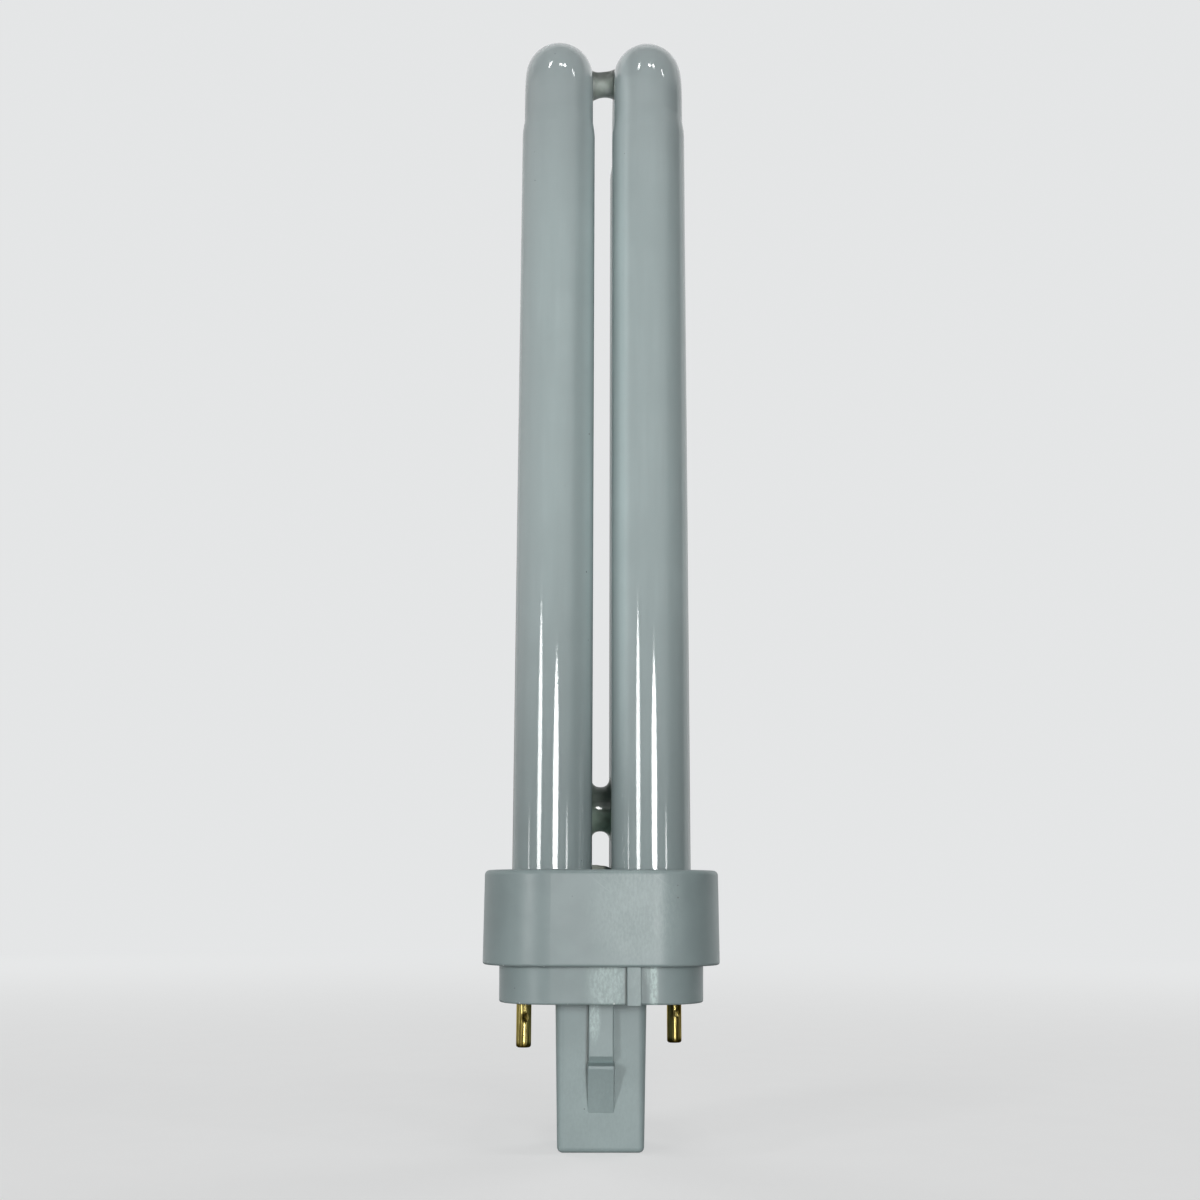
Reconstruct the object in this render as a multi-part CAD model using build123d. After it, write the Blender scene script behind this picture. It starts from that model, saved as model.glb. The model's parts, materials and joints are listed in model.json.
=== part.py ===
from build123d import *
import os
from math import cos, dist, radians, sin, sqrt, tan

# Two-pin plug-in compact fluorescent lamp with two bent glass tubes on a moulded base.
# Millimetres. The origin is the centre of the reference face, the collar's underside
# that seats on a lampholder. +Z runs up along the tubes, and -Y is the front.

# Contact pins, on a circle about the lamp's axis
pin_circle = 24.0
pin_offset = 4.0
pin_diameter = 2.2
pin_length = 6.7
pin_end_round = 0.35
pin_shank_diameter = 2.6
pin_flange_diameter = 3.4
pin_flange_thickness = 0.7
pin_bore_diameter = 0.9
pin_end_wall = 4.2
crimp_depth = 0.28
crimp_radius = 0.9
crimp_level = 2.4
crimp_turn = -74.0

# Collar under the cap, and the spigot that the cap snaps over
pin_edge_margin = 3.52
collar_height = 5.3
collar_wall = 1.6
collar_draft = 0.5
collar_edge_round = 0.3
floor_thickness = 2.2
spigot_height = 5.6
spigot_wall = 1.4
snap_width = 6.0
snap_height = 1.6
snap_depth = 0.4
snap_lip = 0.4
snap_level = 2.4

# Key ribs on the collar's front and back
rib_width = 2.0
rib_height = 1.2
rib_place = 4.5
rib_draft = 3.0
rib_round = 0.15

# Cap that holds the tubes
collar_step = 2.47
cap_height = 13.45
cap_wall = 1.4
cap_draft = 0.5
cap_top_round = 0.7
cap_bottom_round = 0.35
deck_thickness = 1.8
vent_diameter = 4.6

# Cement that bonds the tubes under the cap's deck
cement_depth = 4.0
cement_bead_height = 0.9

# Glass tubes: four straight limbs joined in pairs by bends at the top
limb_diameter = 11.8
limb_gap = 2.8
neck_step = 0.3
crown_top = 155.9
neck_below_bend = 3.6
neck_length = 2.8
limb_below_deck = 4.35
limb_end_round = 4.6
seal_width = 8.0
seal_thickness = 2.6
seal_height = 5.0

# Glass bridge low between the back limbs, and the bead between the bends
bridge_above_cap = 9.85
bridge_diameter = 7.0
bridge_round = 1.25
link_diameter = 4.2
link_flare = 0.4
link_bite = 0.7

# Hollow key post below the collar
post_length = 21.1
post_width = 13.35
post_wall = 1.2
post_end_wall = 1.4
post_corner = 1.3
post_end_round = 0.8
post_draft = 1.15

# Latch on the post's front and back: a bar, a notch and a ramped tooth
bar_width = 3.55
bar_height = 1.35
bar_length = 7.6
notch_length = 0.9
notch_height = 0.45
tooth_width = 3.8
tooth_height = 2.15
tooth_back_length = 0.3
crest_length = 0.45
ramp_length = 6.3
latch_draft = 3.0
latch_round = 0.2

# Glow starter and capacitor inside the post
starter_diameter = 6.0
starter_length = 13.0
starter_top_round = 2.2
lead_half_spacing = 1.4
lead_length = 3.2
capacitor_width = 7.2
capacitor_thickness = 2.6
capacitor_height = 8.0
capacitor_round = 0.7
starter_play = 0.95

# Wires and the splices on the starter's leads
wire_diameter = 0.5
wire_bend = 0.9
wire_spread = 2.0
pin_wire_share = 0.6
starter_wire_share = 0.35
splice_diameter = 1.6
splice_length = 3.0

# Clearances
cap_fit = 0.1
pin_fit = 0.03
limb_fit = 0.2
cement_fit = 0.05
link_fit = 0.02
snap_fit = 0.1
seat_fit = 0.1
wire_fit = 0.05
rib_fit = 0.05

# Worked out from the sizes above
pin_x = sqrt((pin_circle / 2) ** 2 - pin_offset**2)
pin_places = {"left": (-pin_x, -pin_offset), "right": (pin_x, pin_offset)}
collar_half = pin_x + pin_edge_margin
cap_half = collar_half + collar_step
spigot_half = cap_half - cap_wall - cap_fit
spigot_top = collar_height + spigot_height
cap_bottom = collar_height
cap_top = cap_bottom + cap_height
deck_bottom = cap_top - deck_thickness
limb_r = limb_diameter / 2
limb_half = (limb_diameter + limb_gap) / 2
crown_r = limb_r - neck_step
crown_half_gap = limb_half - crown_r
bend_level = crown_top - limb_half - crown_r
neck_top = bend_level - neck_below_bend
neck_bottom = neck_top - neck_length
limb_end = deck_bottom - limb_below_deck
seal_bottom = limb_end - seal_height
wire_space = seal_bottom - floor_thickness
pin_wire_level = floor_thickness + pin_wire_share * wire_space
starter_wire_level = floor_thickness + starter_wire_share * wire_space
bridge_level = cap_top + bridge_above_cap
wire_r = wire_diameter / 2
starter_r = starter_diameter / 2
post_narrowing = post_length * tan(radians(post_draft))
starter_stack = starter_diameter + seat_fit + capacitor_thickness
post_depth = starter_stack + 2 * (starter_play + post_wall + post_narrowing)
notch_level = bar_length + notch_length
tooth_level = notch_level + tooth_back_length
crest_end_level = tooth_level + crest_length
ramp_end_level = crest_end_level + ramp_length
starter_y = starter_stack / 2 - starter_r
starter_bottom = -(post_length - post_end_wall) + seat_fit
starter_top = starter_bottom + starter_length
splice_bottom = starter_top + lead_length - splice_length / 2
splice_level = splice_bottom + splice_length / 2
capacitor_y = starter_y - starter_r - seat_fit - capacitor_thickness / 2
capacitor_top = splice_bottom - wire_bend * 2


def rounded_square(half, level):
    """A square whose corners are round about the limbs' axes, at a level."""
    outline = RectangleRounded(2 * half, 2 * half, half - limb_half)
    return Pos(0, 0, level) * outline


def prism(outline, height, draft=0.0):
    """An outline drawn straight up, narrowing by a draft angle."""
    return extrude(outline, amount=height, dir=(0, 0, 1), taper=draft)


def rod(x, y, low, high, diameter):
    """A round bar parallel to Z between two levels."""
    centre = Pos(x, y, (low + high) / 2)
    return centre * Cylinder(diameter / 2, high - low)


def turned_half(shape):
    """The same shape on the opposite side of the lamp's axis."""
    return Rot(0, 0, 180) * shape


def wire(points):
    """A round wire along straight runs joined by arcs."""
    shortest = min(dist(a, b) for a, b in zip(points, points[1:]))
    path = FilletPolyline(*points, radius=min(wire_bend, 0.45 * shortest))
    section = Plane(origin=path @ 0, z_dir=path % 0) * Circle(wire_r)
    return sweep(section, path=path)


def limb_solid(x, y):
    """One straight limb, narrowed just below its bend and rounded at its hidden end."""
    neck = Spline(
        (limb_r, neck_bottom),
        (crown_r, neck_top),
        tangents=[(0, 1), (0, 1)],
    )
    sides = Polyline(
        (crown_r, neck_top),
        (crown_r, bend_level),
        (0, bend_level),
        (0, limb_end),
        (limb_r - limb_end_round, limb_end),
    )
    end_round = RadiusArc(
        (limb_r - limb_end_round, limb_end),
        (limb_r, limb_end + limb_end_round),
        -limb_end_round,
    )
    wall = Line((limb_r, limb_end + limb_end_round), (limb_r, neck_bottom))
    outline = make_face(Curve() + [neck, sides, end_round, wall])
    turned = revolve(Plane.XZ * outline, axis=Axis.Z)
    return Pos(x, y, 0) * turned


def bend_solid(x, radius):
    """One half-ring bend over a front limb and the back limb behind it."""
    section = Pos(x, -limb_half, bend_level) * Circle(radius)
    axis = Axis((0, 0, bend_level), (-1, 0, 0))
    return revolve(section, axis=axis, revolution_arc=180)


def seal_solid(x, y):
    """The flat pinch seal at the end of a limb that holds a cathode."""
    middle = limb_end - seal_height / 2
    embedded = limb_end_round / 2
    block = Box(seal_width, seal_thickness, seal_height + embedded)
    return Pos(x, y, middle + embedded / 2) * block


def discharge_tube():
    """Both bent tubes and the bridge between them, one sealed glass vessel."""
    glass = Part()
    for x in (-limb_half, limb_half):
        for y in (-limb_half, limb_half):
            glass += limb_solid(x, y)
        glass += bend_solid(x, crown_r)
        glass += seal_solid(x, -limb_half)
    middle = Pos(0, limb_half, bridge_level)
    glass += middle * Rot(0, 90, 0) * Cylinder(bridge_diameter / 2, 2 * limb_half)
    reach = Vector(0, limb_half, bridge_level)
    seams = glass.edges().filter_by(lambda e: (e.center() - reach).length < limb_r)
    return fillet(seams, min(bridge_round, 0.45 * limb_gap))


def crown_link():
    """The bead that ties the two bends together at their tops, waisted at its middle."""
    reach = crown_half_gap + link_bite
    waist_r = link_diameter / 2
    end_r = waist_r + link_flare
    waist = ThreePointArc((-reach, end_r), (0, waist_r), (reach, end_r))
    ends = Polyline((reach, end_r), (reach, 0), (-reach, 0), (-reach, end_r))
    bead = revolve(make_face(waist + ends), axis=Axis.X)
    bead = Pos(0, 0, bend_level + limb_half) * bead
    for x in (-limb_half, limb_half):
        bead -= bend_solid(x, crown_r + link_fit)
    return bead


def limb_holes(clearance, low, high):
    """Round bars where the four limbs pass, with a clearance."""
    bars = Part()
    for x in (-limb_half, limb_half):
        for y in (-limb_half, limb_half):
            bars += rod(x, y, low, high, limb_diameter + 2 * clearance)
    return bars


def snap_wedge(half, grow):
    """A wedge on one side of the spigot that clicks into the cap's wall."""
    level = collar_height + snap_level
    depth = snap_depth + grow
    outline = Polyline(
        (half - snap_depth, level - grow),
        (half + depth, level - grow),
        (half + depth, level + snap_lip + grow),
        (half - snap_depth, level + snap_height + grow),
        close=True,
    )
    face = Plane.YZ * make_face(outline)
    return extrude(face, amount=snap_width / 2 + grow, both=True)


def snaps(half, grow):
    """The snap wedges on all four sides."""
    wedge = snap_wedge(half, grow)
    ring = Part()
    for turn in (0, 90, 180, 270):
        ring += Rot(0, 0, turn) * wedge
    return ring


def cap_shell():
    """The cup that carries the tubes: a deck with four holes, and an open underside."""
    body = prism(rounded_square(cap_half, cap_bottom), cap_height, cap_draft)
    by_level = body.faces().sort_by(Axis.Z)
    body = fillet(by_level[-1].edges(), cap_top_round)
    body = fillet(body.faces().sort_by(Axis.Z)[0].edges(), cap_bottom_round)
    hollow_height = cap_height - deck_thickness
    body -= prism(rounded_square(cap_half - cap_wall, cap_bottom), hollow_height, cap_draft)
    body -= limb_holes(limb_fit, deck_bottom, cap_top)
    body -= rod(0, 0, deck_bottom, cap_top, vent_diameter)
    return body - snaps(spigot_half, snap_fit)


def basing_cement():
    """Cement under the deck around the limbs, with a bead up through the deck's vent."""
    draft_loss = cap_height * tan(radians(cap_draft))
    half = cap_half - cap_wall - draft_loss - cement_fit
    level = deck_bottom - cement_depth
    slab = prism(rounded_square(half, level), cement_depth)
    stem = rod(0, 0, deck_bottom, cap_top, vent_diameter - 2 * cement_fit)
    bead_r = vent_diameter / 2 - cement_fit
    ball_r = (bead_r**2 + cement_bead_height**2) / (2 * cement_bead_height)
    ball = Pos(0, 0, cap_top + cement_bead_height - ball_r) * Sphere(ball_r)
    above = Pos(0, 0, cap_top + ball_r) * Box(2 * ball_r, 2 * ball_r, 2 * ball_r)
    bead = ball & above
    return slab - limb_holes(cement_fit, level, deck_bottom) + stem + bead


def ridge_section(width, height, embed, draft):
    """A ridge's plan on the line y = 0, standing out towards -Y with drafted sides."""
    root = width / 2 + (height + embed) * tan(radians(draft))
    outline = Polyline(
        (-width / 2, -height),
        (width / 2, -height),
        (root, embed),
        (-root, embed),
        close=True,
    )
    return make_face(outline)


def soften(ridge, front, low, high, radius):
    """A ridge with its edges before a plane rounded, apart from those of its flat ends."""
    edges = ridge.edges().filter_by(lambda e: e.center().Y < front)
    edges = edges.filter_by(lambda e: low < e.center().Z - radius / 2)
    edges = edges.filter_by(lambda e: e.center().Z + radius / 2 < high)
    return fillet(edges, radius)


def key_rib():
    """The rib on the collar's front that keys the lamp to its holder."""
    top = collar_height - rib_fit
    section = ridge_section(rib_width, rib_height, collar_wall / 2, rib_draft)
    ridge = soften(prism(section, top), 0, 0, top, rib_round)
    return Pos(rib_place, -collar_half, 0) * ridge


def latch():
    """The bar and the ramped tooth on the post's front face."""
    face_y = -post_depth / 2
    embed = post_wall / 2
    ramp_end_y = face_y + ramp_end_level * tan(radians(post_draft))
    bar_profile = Polyline(
        (face_y + embed, 0),
        (face_y - bar_height, 0),
        (face_y - bar_height, -bar_length),
        (face_y - notch_height, -notch_level),
        (face_y + embed, -notch_level),
        close=True,
    )
    tooth_profile = Polyline(
        (face_y + embed, -notch_level),
        (face_y - notch_height, -notch_level),
        (face_y - tooth_height, -tooth_level),
        (face_y - tooth_height, -crest_end_level),
        (ramp_end_y, -ramp_end_level),
        (face_y + embed, -ramp_end_level),
        close=True,
    )
    bar_section = ridge_section(bar_width, bar_height, embed, latch_draft)
    bar = prism(Pos(0, face_y, -notch_level) * bar_section, notch_level)
    ramp = Vector(0, ramp_end_y - face_y + tooth_height, -ramp_length)
    tooth_section = ridge_section(tooth_width, tooth_height, embed, latch_draft)
    tooth_section = Pos(0, face_y, -crest_end_level) * tooth_section
    tooth = extrude(tooth_section, amount=ramp.length, dir=ramp, both=True)
    pieces = Part()
    for profile, ridge, low, high in (
        (bar_profile, bar, -notch_level, 0),
        (tooth_profile, tooth, -ramp_end_level, -notch_level),
    ):
        side_view = extrude(Plane.YZ * make_face(profile), amount=post_width, both=True)
        pieces += soften(side_view & ridge, face_y, low, high, latch_round)
    return pieces


def post_solid():
    """The tapered post, before it is hollowed."""
    outline = Plane(origin=(0, 0, 0), z_dir=(0, 0, -1)) * RectangleRounded(
        post_width, post_depth, post_corner
    )
    post = extrude(outline, amount=post_length, dir=(0, 0, -1), taper=post_draft)
    return fillet(post.faces().sort_by(Axis.Z)[0].edges(), post_end_round)


def post_hollow():
    """The space inside the post, open through the collar's floor."""
    corner = post_corner / 2
    outline = Plane(origin=(0, 0, 0), z_dir=(0, 0, -1)) * RectangleRounded(
        post_width - 2 * post_wall, post_depth - 2 * post_wall, corner
    )
    depth = post_length - post_end_wall
    lower = extrude(outline, amount=depth, dir=(0, 0, -1), taper=post_draft)
    return lower + extrude(outline, amount=floor_thickness, dir=(0, 0, 1))


def plug_base():
    """Collar, key ribs, spigot and hollow post with its latches, one moulding."""
    collar = extrude(rounded_square(collar_half, 0), amount=collar_height, taper=-collar_draft)
    collar = fillet(collar.faces().sort_by(Axis.Z)[0].edges(), collar_edge_round)
    body = collar + key_rib() + turned_half(key_rib())
    body += prism(rounded_square(spigot_half, collar_height), spigot_height)
    body += snaps(spigot_half, 0)
    body += post_solid() + latch() + turned_half(latch())
    inner = collar_half - collar_wall
    body -= prism(rounded_square(inner, floor_thickness), spigot_top - floor_thickness)
    upper = spigot_half - spigot_wall
    body -= prism(rounded_square(upper, collar_height + spigot_wall), spigot_height)
    body -= post_hollow()
    for x, y in pin_places.values():
        body -= rod(x, y, 0, floor_thickness, pin_shank_diameter + 2 * pin_fit)
    return body


def contact_pin(x, y):
    """A hollow pin with a shank through the floor, a flange on it and two crimp dents."""
    flange_top = floor_thickness + pin_flange_thickness
    pin = rod(0, 0, -pin_length, 0, pin_diameter)
    pin = fillet(pin.edges().sort_by(Axis.Z)[0], pin_end_round)
    pin += rod(0, 0, 0, floor_thickness, pin_shank_diameter)
    pin += rod(0, 0, floor_thickness, flange_top, pin_flange_diameter)
    pin -= rod(0, 0, pin_end_wall - pin_length, flange_top, pin_bore_diameter)
    reach = pin_diameter / 2 - crimp_depth + crimp_radius
    for turn in (crimp_turn, crimp_turn + 180):
        dent_x = reach * cos(radians(turn))
        dent_y = reach * sin(radians(turn))
        pin -= Pos(dent_x, dent_y, -crimp_level) * Sphere(crimp_radius)
    return Pos(x, y, 0) * pin


def starter_bottle():
    """The glow starter's glass bottle with its two leads."""
    bottle = rod(0, starter_y, starter_bottom, starter_top, starter_diameter)
    bottle = fillet(bottle.edges().sort_by(Axis.Z)[-1], starter_top_round)
    for x in (-lead_half_spacing, lead_half_spacing):
        lead_bottom = starter_top - starter_top_round
        bottle += rod(x, starter_y, lead_bottom, splice_level - wire_fit, wire_diameter)
    return bottle


def starter_capacitor():
    """The suppression capacitor beside the starter, with leads to both splices."""
    block = Box(capacitor_width, capacitor_thickness, capacitor_height)
    block = fillet(block.edges(), capacitor_round)
    body = Pos(0, capacitor_y, capacitor_top - capacitor_height / 2) * block
    end_y = starter_y - splice_diameter / 2 - wire_fit
    for x in (-lead_half_spacing, lead_half_spacing):
        body += wire(
            [
                (x, capacitor_y, capacitor_top - capacitor_round),
                (x, capacitor_y, splice_level),
                (x, end_y, splice_level),
            ]
        )
    return body


def splice(side):
    """The sleeve that joins a starter lead to its wire."""
    x = side * lead_half_spacing
    sleeve = rod(x, starter_y, splice_bottom, splice_bottom + splice_length, splice_diameter)
    bore = wire_diameter + 2 * wire_fit
    return sleeve - rod(x, starter_y, splice_bottom, splice_bottom + splice_length, bore)


def pin_wire(side, pin_place):
    """The lead from a cathode's seal down into its contact pin."""
    x = side * (limb_half + wire_spread)
    bore_bottom = pin_end_wall - pin_length + wire_fit
    return wire(
        [
            (x, -limb_half, seal_bottom),
            (x, -limb_half, pin_wire_level),
            (*pin_place, pin_wire_level),
            (*pin_place, bore_bottom),
        ]
    )


def starter_wire(side):
    """The lead from a cathode's seal to the starter's splice."""
    x = side * (limb_half - wire_spread)
    end_x = side * lead_half_spacing
    return wire(
        [
            (x, -limb_half, seal_bottom),
            (x, -limb_half, starter_wire_level),
            (end_x, starter_y, starter_wire_level),
            (end_x, starter_y, splice_level + wire_fit),
        ]
    )


nodes = {
    "discharge_tube": discharge_tube(),
    "crown_link": crown_link(),
    "cap_shell": cap_shell(),
    "basing_cement": basing_cement(),
    "plug_base": plug_base(),
    "starter_bottle": starter_bottle(),
    "starter_capacitor": starter_capacitor(),
}
for name, side in (("left", -1), ("right", 1)):
    nodes[f"contact_pin_{name}"] = contact_pin(*pin_places[name])
    nodes[f"pin_wire_{name}"] = pin_wire(side, pin_places[name])
    nodes[f"starter_wire_{name}"] = starter_wire(side)
    nodes[f"starter_splice_{name}"] = splice(side)

os.makedirs("parts", exist_ok=True)
for name, shape in nodes.items():
    export_step(shape, f"parts/{name}.step")
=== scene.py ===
import json
import math

import bmesh
import bpy
from mathutils import Matrix, Vector, noise


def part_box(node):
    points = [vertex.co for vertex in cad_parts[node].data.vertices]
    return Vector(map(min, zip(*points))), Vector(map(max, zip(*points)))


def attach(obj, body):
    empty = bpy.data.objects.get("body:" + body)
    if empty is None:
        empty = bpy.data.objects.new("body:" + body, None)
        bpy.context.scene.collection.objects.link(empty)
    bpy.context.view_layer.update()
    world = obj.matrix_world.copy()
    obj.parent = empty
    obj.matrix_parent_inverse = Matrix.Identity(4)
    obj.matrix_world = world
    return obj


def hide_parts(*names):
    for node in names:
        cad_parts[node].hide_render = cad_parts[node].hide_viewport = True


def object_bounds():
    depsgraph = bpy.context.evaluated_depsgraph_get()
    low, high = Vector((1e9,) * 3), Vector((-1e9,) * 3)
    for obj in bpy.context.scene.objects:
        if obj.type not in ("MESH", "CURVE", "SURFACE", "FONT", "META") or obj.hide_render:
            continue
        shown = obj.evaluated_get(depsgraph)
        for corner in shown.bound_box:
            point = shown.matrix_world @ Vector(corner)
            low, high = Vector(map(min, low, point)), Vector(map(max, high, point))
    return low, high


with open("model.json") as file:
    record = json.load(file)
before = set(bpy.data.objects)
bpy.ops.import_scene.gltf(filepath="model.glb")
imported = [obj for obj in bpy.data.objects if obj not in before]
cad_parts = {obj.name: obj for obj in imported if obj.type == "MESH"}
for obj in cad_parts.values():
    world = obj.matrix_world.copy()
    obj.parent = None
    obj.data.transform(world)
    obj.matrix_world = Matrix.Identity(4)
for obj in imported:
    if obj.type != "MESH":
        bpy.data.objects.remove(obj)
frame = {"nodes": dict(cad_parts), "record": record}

# The bulb stands upright on its key post. Lengths are in metres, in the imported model's frame:
# x to the right of the photograph, y away from the camera and z up.
cad_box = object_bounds()
MM = 0.001
FLOOR_LEVEL = cad_box[0].z

# Glass and cap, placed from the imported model. Each of the two tubes has a front limb, a back
# limb and a bend over them. A bead ties the bends, and a low bridge joins the back limbs.
_, GLASS_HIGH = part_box("discharge_tube")
LINK_LOW, LINK_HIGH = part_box("crown_link")
_, CAP_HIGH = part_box("cap_shell")
LIMB_RADIUS = 5.9 * MM
BEND_RADIUS = 5.6 * MM
LIMB_OFFSET = GLASS_HIGH.x - LIMB_RADIUS
BEND_LEVEL = GLASS_HIGH.z - LIMB_OFFSET - BEND_RADIUS
LINK_LEVEL = (LINK_LOW.z + LINK_HIGH.z) / 2
DECK_LEVEL = CAP_HIGH.z
BRIDGE_RISE = 9.85 * MM
BRIDGE_LEVEL = DECK_LEVEL + BRIDGE_RISE
BRIDGE_RADIUS = 3.5 * MM

# Camera, fitted to the bulb's outlines in the photograph
PHOTO_PX = 1200
FOCAL_PX = 1496
SENSOR_MM = 36.0
CAMERA_PLACE = Vector((-3.535, -232.013, 14.362)) * MM
CAMERA_HEADING = math.radians(0.815)
CAMERA_PITCH = math.radians(11.37)
CAMERA_ROLL = math.radians(0.166)
CAMERA_NEAR = 0.01

# Colours, linear
COAT_COLOUR = (0.430, 0.511, 0.512, 1.0)
COAT_LOW_COLOUR = (0.302, 0.360, 0.362, 1.0)
COAT_TOP_COLOUR = (0.384, 0.444, 0.448, 1.0)
BARE_GLASS_COLOUR = (0.390, 0.500, 0.420, 1.0)
SPECK_COLOUR = (0.120, 0.135, 0.130, 1.0)
MOULDING_COLOUR = (0.338, 0.418, 0.420, 1.0)
MOULDING_SHADE = (0.316, 0.391, 0.393, 1.0)
# Rubbed smears, and painted highlights and light, on the mouldings
SMEAR_AND_SHEEN_COLOUR = (0.540, 0.665, 0.640, 1.0)
# Dark specks on the mouldings, and painted shade on the mouldings and the cement
GRIME_AND_SHADE_COLOUR = (0.180, 0.205, 0.200, 1.0)
BURR_COLOUR = (0.800, 0.860, 0.840, 1.0)
BRASS_COLOUR = (0.680, 0.560, 0.200, 1.0)
BRASS_EDGE = (0.500, 0.380, 0.080, 1.0)
# Tarnish, and painted dark reflections, on the pins
BRASS_TARNISH_AND_SHADE = (0.075, 0.055, 0.010, 1.0)
CEMENT_COLOUR = (0.760, 0.790, 0.700, 1.0)
CEMENT_SHADE = (0.580, 0.610, 0.530, 1.0)
BEAD_COLOUR = (0.315, 0.343, 0.318, 1.0)
BEAD_SHADE = (0.255, 0.284, 0.255, 1.0)
WIRE_COLOUR = (0.520, 0.500, 0.470, 1.0)
WIRE_SHADE = (0.330, 0.300, 0.260, 1.0)
STARTER_COLOUR = (0.620, 0.680, 0.680, 1.0)
STARTER_SHADE = (0.480, 0.540, 0.540, 1.0)
DIP_COLOUR = (0.260, 0.045, 0.020, 1.0)
DIP_SHADE = (0.160, 0.026, 0.012, 1.0)
FLOOR_COLOUR = (0.880, 0.885, 0.885, 1.0)
FLOOR_SHADE = (0.860, 0.866, 0.868, 1.0)
FLOOR_BOUNCE_COLOUR = (0.220, 0.224, 0.224, 1.0)
BACKDROP_COLOUR = (0.780, 0.790, 0.795, 1.0)
WHITE = (1.0, 1.0, 1.0, 1.0)

# Softness of scattered specks and of patches, and samples for the openness of corners
SPECK_CORE = 0.5
SPECK_CHANCE_EDGE = 0.01
PATCH_CORE = 0.35
OPENNESS_SAMPLES = 8


class Tree:
    """The nodes of a material or a world, with short calls for the kinds used here."""

    def __init__(self, owner):
        self.owner = owner
        self.nodes = owner.node_tree.nodes
        self.links = owner.node_tree.links
        self.shader = self.nodes.get("Principled BSDF")

    @classmethod
    def new(cls, name):
        """The nodes of a new material."""
        material = bpy.data.materials.new(name)
        material.use_nodes = True
        return cls(material)

    def put(self, socket, value):
        """Gives a socket another node's output, or a constant."""
        if isinstance(value, bpy.types.NodeSocket):
            self.links.new(value, socket)
        else:
            socket.default_value = value

    def add(self, kind, inputs=(), **settings):
        """A new node, with inputs by their names or places, and its own settings."""
        node = self.nodes.new("ShaderNode" + kind)
        for key, value in settings.items():
            setattr(node, key, value)
        for place, value in dict(inputs).items():
            self.put(node.inputs[place], value)
        return node

    def finish(self, **values):
        """Sets the shader's own sockets, with spaces for underscores."""
        for key, value in values.items():
            self.put(self.shader.inputs[key.replace("_", " ")], value)
        return self.owner

    def place_mm(self):
        """A point's place on the bulb, in millimetres."""
        coords = self.add("TexCoord").outputs["Object"]
        return self.scaled(coords, (1 / MM, 1 / MM, 1 / MM))

    def scaled(self, vector, factors):
        """A vector with each part times its own factor."""
        node = self.add("VectorMath", {0: vector, 1: factors}, operation="MULTIPLY")
        return node.outputs[0]

    def split(self, vector):
        """A vector's three parts."""
        return self.add("SeparateXYZ", {0: vector}).outputs

    def length(self, vector):
        """A vector's length."""
        return self.add("VectorMath", {0: vector}, operation="LENGTH").outputs["Value"]

    def maths(self, operation, first, second=0.0):
        """Blender's operation of that name on one value or two."""
        node = self.add("Math", {0: first, 1: second}, operation=operation)
        return node.outputs[0]

    def product(self, first, *others):
        """Values times each other."""
        for other in others:
            first = self.maths("MULTIPLY", first, other)
        return first

    def largest(self, first, *others):
        """The largest of some values."""
        for other in others:
            first = self.maths("MAXIMUM", first, other)
        return first

    def step(self, value, low, high):
        """A smooth rise from 0 at low to 1 at high, or a fall where low is above high."""
        node = self.add("MapRange", interpolation_type="SMOOTHSTEP")
        ends = (low, high, 0.0, 1.0) if low < high else (high, low, 1.0, 0.0)
        for index, end in enumerate((value, *ends)):
            self.put(node.inputs[index], end)
        return node.outputs[0]

    def ramp(self, value, low, high):
        """A value from 0 to 1 brought to the span from low to high."""
        return self.add("MapRange", {0: value, 3: low, 4: high}).outputs[0]

    def noise(self, place, scale, detail=2.0, roughness=0.5):
        """Soft noise about 0.5, with one scale for all directions or one for each axis."""
        if isinstance(scale, tuple):
            place = self.scaled(place, scale)
            scale = 1.0
        inputs = {"Vector": place, "Scale": scale, "Detail": detail, "Roughness": roughness}
        return self.add("TexNoise", inputs).outputs[0]

    def specks(self, place, scale, radius, share):
        """Round specks in a share of cells, with the radius in cells: 1 inside, 0 elsewhere."""
        cells = self.add("TexVoronoi", {"Vector": place, "Scale": scale})
        near = self.step(cells.outputs["Distance"], radius, radius * SPECK_CORE)
        chance = self.split(cells.outputs["Color"])[0]
        return self.product(near, self.step(chance, share + SPECK_CHANCE_EDGE, share))

    def patch(self, place, centre, half_size):
        """A soft round patch: 1 about its centre, falling to 0 at its half-size."""
        away = self.add("VectorMath", {0: place, 1: centre}, operation="SUBTRACT").outputs[0]
        away = self.scaled(away, [1 / half for half in half_size])
        return self.step(self.length(away), 1.0, PATCH_CORE)

    def openness(self, reach_mm):
        """How open the surface is about a point: 0 deep in a corner and 1 in the open."""
        inputs = {"Distance": reach_mm * MM}
        return self.add("AmbientOcclusion", inputs, samples=OPENNESS_SAMPLES).outputs["AO"]

    def blend(self, factor, first, second):
        """The first colour where the factor is 0, and the second where it is 1."""
        node = self.add("Mix", {0: factor, 6: first, 7: second}, data_type="RGBA")
        return node.outputs[2]

    def tinted(self, first, second):
        """One colour times another."""
        inputs = {0: 1.0, 6: first, 7: second}
        return self.add("Mix", inputs, data_type="RGBA", blend_type="MULTIPLY").outputs[2]

    def shaded(self, colour, level):
        """A colour times a level."""
        node = self.add("VectorMath", {0: colour, 3: level}, operation="SCALE")
        return node.outputs[0]

    def bump(self, height, depth_mm, normal=None):
        """A normal for a height from 0 to 1, on top of another normal if there is one."""
        node = self.add("Bump", {"Height": height, "Distance": depth_mm * MM})
        if normal is not None:
            self.put(node.inputs["Normal"], normal)
        return node.outputs[0]


# Materials work in millimetres: heights, places, half-sizes and depths, and noise scales per
# millimetre. A span is where a step starts and ends, and levels are shares of a colour.

# The coat's tone, by height on the glass
COAT_RISE = (15.0, 80.0)
COAT_FALL = (112.0, 150.0)

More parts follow.
